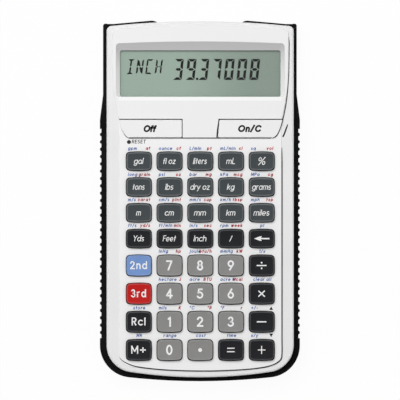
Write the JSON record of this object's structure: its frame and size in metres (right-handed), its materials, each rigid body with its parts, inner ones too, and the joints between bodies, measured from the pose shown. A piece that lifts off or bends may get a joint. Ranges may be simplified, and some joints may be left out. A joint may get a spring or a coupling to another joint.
{
  "type": "conversion calculator",
  "caption": "Handheld unit conversion calculator with sprung push keys, an LCD window and a ribbed slide-on protective cover stored on its back.",
  "frame": {"origin": "centre of the bounding box's underside, on the slide cover's outer face", "axes": "+X to the right across the face, +Y along the length towards the display, +Z out of the key tops"},
  "size_m": [0.0788, 0.1424, 0.015],
  "materials": {
    "white_plastic": "fine satin moulded ABS",
    "black_plastic": "satin black moulded ABS",
    "clear_lens": "clear acrylic",
    "lcd": "reflective green-grey liquid crystal panel",
    "carrier_plastic": "moulded",
    "contact_rubber": "striped elastomer",
    "board_green": "solder mask",
    "dome_rubber": "silicone",
    "epoxy": "cured drop",
    "component": "small electronic parts",
    "cell_steel": "nickel plated",
    "spring_steel": "stamped strip",
    "steel": "zinc plated",
    "key_slate": "slate moulded key",
    "key_black": "near-black moulded key",
    "key_grey": "mid-grey moulded key",
    "key_blue": "blue moulded key",
    "key_red": "red moulded key",
    "key_white": "white moulded key"
  },
  "bodies": {
    "main_body": {"front_case": "white_plastic", "rear_case": "white_plastic", "display_window": "clear_lens", "battery_door": "white_plastic", "battery_door_screws": "steel", "case_screws": "steel", "lcd_glass": "lcd", "lcd_carrier": "carrier_plastic", "zebra_strip": "contact_rubber", "circuit_board": "board_green", "dome_sheet": "dome_rubber", "processor_blob": "epoxy", "board_components": "component", "coin_cell": "cell_steel", "battery_clip_positive": "spring_steel", "battery_spring_negative": "spring_steel"},
    "slide_cover": {"slide_cover": "black_plastic"},
    "reset_button": {"reset_button": "key_black"},
    "key_off": {"key_off": "key_white"},
    "key_on": {"key_on": "key_white"},
    "key_2nd": {"key_2nd": "key_blue"},
    "key_5": {"key_5": "key_grey"},
    "key_gal": {"key_gal": "key_slate"},
    "key_plus": {"key_plus": "key_black"},
    "key_equals": {"key_equals": "key_black"},
    "key_memory": {"key_memory": "key_black"},
    "key_back": {"key_back": "key_black"},
    "key_percent": {"key_percent": "key_slate"},
    "key_3rd": {"key_3rd": "key_red"},
    "key_0": {"key_0": "key_grey"},
    "key_liters": {"key_liters": "key_slate"},
    "key_m": {"key_m": "key_slate"},
    "key_kg": {"key_kg": "key_slate"},
    "key_fl_oz": {"key_fl_oz": "key_slate"},
    "key_ml": {"key_ml": "key_slate"},
    "key_tons": {"key_tons": "key_slate"},
    "key_lbs": {"key_lbs": "key_slate"},
    "key_dry_oz": {"key_dry_oz": "key_slate"},
    "key_grams": {"key_grams": "key_slate"},
    "key_cm": {"key_cm": "key_slate"},
    "key_mm": {"key_mm": "key_slate"},
    "key_km": {"key_km": "key_slate"},
    "key_miles": {"key_miles": "key_slate"},
    "key_yds": {"key_yds": "key_black"},
    "key_feet": {"key_feet": "key_black"},
    "key_inch": {"key_inch": "key_black"},
    "key_slash": {"key_slash": "key_black"},
    "key_7": {"key_7": "key_grey"},
    "key_8": {"key_8": "key_grey"},
    "key_9": {"key_9": "key_grey"},
    "key_divide": {"key_divide": "key_black"},
    "key_4": {"key_4": "key_grey"},
    "key_6": {"key_6": "key_grey"},
    "key_times": {"key_times": "key_black"},
    "key_recall": {"key_recall": "key_black"},
    "key_1": {"key_1": "key_grey"},
    "key_2": {"key_2": "key_grey"},
    "key_3": {"key_3": "key_grey"},
    "key_minus": {"key_minus": "key_black"},
    "key_point": {"key_point": "key_grey"}
  },
  "joints": [
    {"name": "cover_slide", "type": "slide", "parent": "main_body", "child": "slide_cover", "axis": [0, -1, 0], "range_m": [0, 0.145]},
    {"name": "key_off_press", "type": "slide", "parent": "main_body", "child": "key_off", "axis": [0, 0, -1], "range_m": [0, 0.0007], "stiffness_N_per_m": 300, "deforming": ["dome_sheet"]},
    {"name": "key_on_press", "type": "slide", "parent": "main_body", "child": "key_on", "axis": [0, 0, -1], "range_m": [0, 0.0007], "stiffness_N_per_m": 300, "deforming": ["dome_sheet"]},
    {"name": "key_2nd_press", "type": "slide", "parent": "main_body", "child": "key_2nd", "axis": [0, 0, -1], "range_m": [0, 0.0012], "stiffness_N_per_m": 300, "deforming": ["dome_sheet"]},
    {"name": "key_5_press", "type": "slide", "parent": "main_body", "child": "key_5", "axis": [0, 0, -1], "range_m": [0, 0.0012], "stiffness_N_per_m": 300, "deforming": ["dome_sheet"]},
    {"name": "key_gal_press", "type": "slide", "parent": "main_body", "child": "key_gal", "axis": [0, 0, -1], "range_m": [0, 0.0012], "stiffness_N_per_m": 300, "deforming": ["dome_sheet"]},
    {"name": "key_plus_press", "type": "slide", "parent": "main_body", "child": "key_plus", "axis": [0, 0, -1], "range_m": [0, 0.0012], "stiffness_N_per_m": 300, "deforming": ["dome_sheet"]},
    {"name": "key_equals_press", "type": "slide", "parent": "main_body", "child": "key_equals", "axis": [0, 0, -1], "range_m": [0, 0.0012], "stiffness_N_per_m": 300, "deforming": ["dome_sheet"]},
    {"name": "key_memory_press", "type": "slide", "parent": "main_body", "child": "key_memory", "axis": [0, 0, -1], "range_m": [0, 0.0012], "stiffness_N_per_m": 300, "deforming": ["dome_sheet"]},
    {"name": "key_back_press", "type": "slide", "parent": "main_body", "child": "key_back", "axis": [0, 0, -1], "range_m": [0, 0.0012], "stiffness_N_per_m": 300, "deforming": ["dome_sheet"]},
    {"name": "key_percent_press", "type": "slide", "parent": "main_body", "child": "key_percent", "axis": [0, 0, -1], "range_m": [0, 0.0012], "stiffness_N_per_m": 300, "deforming": ["dome_sheet"]},
    {"name": "key_3rd_press", "type": "slide", "parent": "main_body", "child": "key_3rd", "axis": [0, 0, -1], "range_m": [0, 0.0012], "stiffness_N_per_m": 300, "deforming": ["dome_sheet"]},
    {"name": "key_0_press", "type": "slide", "parent": "main_body", "child": "key_0", "axis": [0, 0, -1], "range_m": [0, 0.0012], "stiffness_N_per_m": 300, "deforming": ["dome_sheet"]},
    {"name": "key_liters_press", "type": "slide", "parent": "main_body", "child": "key_liters", "axis": [0, 0, -1], "range_m": [0, 0.0012], "stiffness_N_per_m": 300, "deforming": ["dome_sheet"]},
    {"name": "key_m_press", "type": "slide", "parent": "main_body", "child": "key_m", "axis": [0, 0, -1], "range_m": [0, 0.0012], "stiffness_N_per_m": 300, "deforming": ["dome_sheet"]},
    {"name": "key_kg_press", "type": "slide", "parent": "main_body", "child": "key_kg", "axis": [0, 0, -1], "range_m": [0, 0.0012], "stiffness_N_per_m": 300, "deforming": ["dome_sheet"]},
    {"name": "key_fl_oz_press", "type": "slide", "parent": "main_body", "child": "key_fl_oz", "axis": [0, 0, -1], "range_m": [0, 0.0012], "stiffness_N_per_m": 300, "deforming": ["dome_sheet"]},
    {"name": "key_ml_press", "type": "slide", "parent": "main_body", "child": "key_ml", "axis": [0, 0, -1], "range_m": [0, 0.0012], "stiffness_N_per_m": 300, "deforming": ["dome_sheet"]},
    {"name": "key_tons_press", "type": "slide", "parent": "main_body", "child": "key_tons", "axis": [0, 0, -1], "range_m": [0, 0.0012], "stiffness_N_per_m": 300, "deforming": ["dome_sheet"]},
    {"name": "key_lbs_press", "type": "slide", "parent": "main_body", "child": "key_lbs", "axis": [0, 0, -1], "range_m": [0, 0.0012], "stiffness_N_per_m": 300, "deforming": ["dome_sheet"]},
    {"name": "key_dry_oz_press", "type": "slide", "parent": "main_body", "child": "key_dry_oz", "axis": [0, 0, -1], "range_m": [0, 0.0012], "stiffness_N_per_m": 300, "deforming": ["dome_sheet"]},
    {"name": "key_grams_press", "type": "slide", "parent": "main_body", "child": "key_grams", "axis": [0, 0, -1], "range_m": [0, 0.0012], "stiffness_N_per_m": 300, "deforming": ["dome_sheet"]},
    {"name": "key_cm_press", "type": "slide", "parent": "main_body", "child": "key_cm", "axis": [0, 0, -1], "range_m": [0, 0.0012], "stiffness_N_per_m": 300, "deforming": ["dome_sheet"]},
    {"name": "key_mm_press", "type": "slide", "parent": "main_body", "child": "key_mm", "axis": [0, 0, -1], "range_m": [0, 0.0012], "stiffness_N_per_m": 300, "deforming": ["dome_sheet"]},
    {"name": "key_km_press", "type": "slide", "parent": "main_body", "child": "key_km", "axis": [0, 0, -1], "range_m": [0, 0.0012], "stiffness_N_per_m": 300, "deforming": ["dome_sheet"]},
    {"name": "key_miles_press", "type": "slide", "parent": "main_body", "child": "key_miles", "axis": [0, 0, -1], "range_m": [0, 0.0012], "stiffness_N_per_m": 300, "deforming": ["dome_sheet"]},
    {"name": "key_yds_press", "type": "slide", "parent": "main_body", "child": "key_yds", "axis": [0, 0, -1], "range_m": [0, 0.0012], "stiffness_N_per_m": 300, "deforming": ["dome_sheet"]},
    {"name": "key_feet_press", "type": "slide", "parent": "main_body", "child": "key_feet", "axis": [0, 0, -1], "range_m": [0, 0.0012], "stiffness_N_per_m": 300, "deforming": ["dome_sheet"]},
    {"name": "key_inch_press", "type": "slide", "parent": "main_body", "child": "key_inch", "axis": [0, 0, -1], "range_m": [0, 0.0012], "stiffness_N_per_m": 300, "deforming": ["dome_sheet"]},
    {"name": "key_slash_press", "type": "slide", "parent": "main_body", "child": "key_slash", "axis": [0, 0, -1], "range_m": [0, 0.0012], "stiffness_N_per_m": 300, "deforming": ["dome_sheet"]},
    {"name": "key_7_press", "type": "slide", "parent": "main_body", "child": "key_7", "axis": [0, 0, -1], "range_m": [0, 0.0012], "stiffness_N_per_m": 300, "deforming": ["dome_sheet"]},
    {"name": "key_8_press", "type": "slide", "parent": "main_body", "child": "key_8", "axis": [0, 0, -1], "range_m": [0, 0.0012], "stiffness_N_per_m": 300, "deforming": ["dome_sheet"]},
    {"name": "key_9_press", "type": "slide", "parent": "main_body", "child": "key_9", "axis": [0, 0, -1], "range_m": [0, 0.0012], "stiffness_N_per_m": 300, "deforming": ["dome_sheet"]},
    {"name": "key_divide_press", "type": "slide", "parent": "main_body", "child": "key_divide", "axis": [0, 0, -1], "range_m": [0, 0.0012], "stiffness_N_per_m": 300, "deforming": ["dome_sheet"]},
    {"name": "key_4_press", "type": "slide", "parent": "main_body", "child": "key_4", "axis": [0, 0, -1], "range_m": [0, 0.0012], "stiffness_N_per_m": 300, "deforming": ["dome_sheet"]},
    {"name": "key_6_press", "type": "slide", "parent": "main_body", "child": "key_6", "axis": [0, 0, -1], "range_m": [0, 0.0012], "stiffness_N_per_m": 300, "deforming": ["dome_sheet"]},
    {"name": "key_times_press", "type": "slide", "parent": "main_body", "child": "key_times", "axis": [0, 0, -1], "range_m": [0, 0.0012], "stiffness_N_per_m": 300, "deforming": ["dome_sheet"]},
    {"name": "key_recall_press", "type": "slide", "parent": "main_body", "child": "key_recall", "axis": [0, 0, -1], "range_m": [0, 0.0012], "stiffness_N_per_m": 300, "deforming": ["dome_sheet"]},
    {"name": "key_1_press", "type": "slide", "parent": "main_body", "child": "key_1", "axis": [0, 0, -1], "range_m": [0, 0.0012], "stiffness_N_per_m": 300, "deforming": ["dome_sheet"]},
    {"name": "key_2_press", "type": "slide", "parent": "main_body", "child": "key_2", "axis": [0, 0, -1], "range_m": [0, 0.0012], "stiffness_N_per_m": 300, "deforming": ["dome_sheet"]},
    {"name": "key_3_press", "type": "slide", "parent": "main_body", "child": "key_3", "axis": [0, 0, -1], "range_m": [0, 0.0012], "stiffness_N_per_m": 300, "deforming": ["dome_sheet"]},
    {"name": "key_minus_press", "type": "slide", "parent": "main_body", "child": "key_minus", "axis": [0, 0, -1], "range_m": [0, 0.0012], "stiffness_N_per_m": 300, "deforming": ["dome_sheet"]},
    {"name": "key_point_press", "type": "slide", "parent": "main_body", "child": "key_point", "axis": [0, 0, -1], "range_m": [0, 0.0012], "stiffness_N_per_m": 300, "deforming": ["dome_sheet"]},
    {"name": "reset_press", "type": "slide", "parent": "main_body", "child": "reset_button", "axis": [0, 0, -1], "range_m": [0, 0.0008], "stiffness_N_per_m": 300, "deforming": ["dome_sheet"]}
  ]
}
